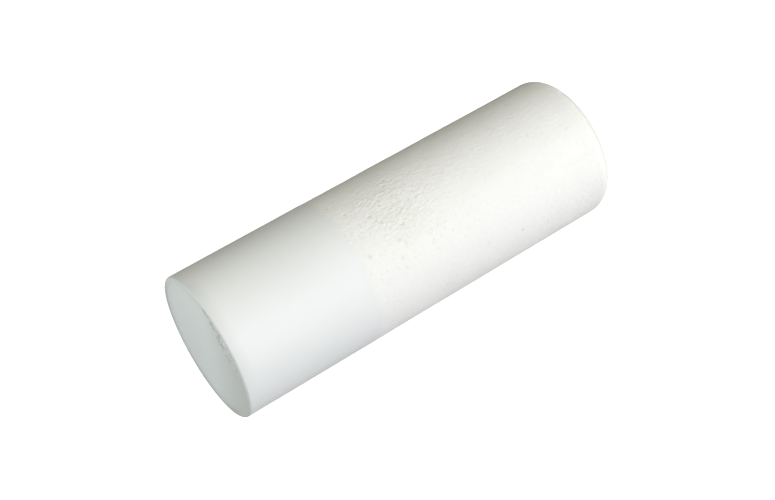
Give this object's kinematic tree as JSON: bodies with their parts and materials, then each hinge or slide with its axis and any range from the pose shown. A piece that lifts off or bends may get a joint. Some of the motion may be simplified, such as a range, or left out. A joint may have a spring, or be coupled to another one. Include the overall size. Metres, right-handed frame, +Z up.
{
  "type": "foam roller",
  "caption": "Cylindrical foam roller lying on its side. Its smooth near third and near face are modelled as a film sleeve and an end disc, with speckled bare foam beyond and a soft rounded far rim.",
  "frame": {"origin": "under the middle of the roller's length, on the surface that the roller lies on", "axes": "+X along the roller's axis, from the sleeved near end to the bare far end, +Z up, the roller lying on a flat facet"},
  "size_m": [0.45, 0.1538, 0.1539],
  "materials": {
    "core_foam": null,
    "body_foam": "warm white expanded polyethylene foam, matte, with fine specks and open pits",
    "sleeve_film": "cool white thin smooth polyethylene film, satin",
    "disc_film": "cool grey-white thin polyethylene film, satin, puckered beside the upper rim"
  },
  "bodies": {
    "root": {"core_rod": "core_foam", "foam_body": "body_foam", "smooth_sleeve": "sleeve_film", "near_end_disc": "disc_film"}
  },
  "joints": []
}
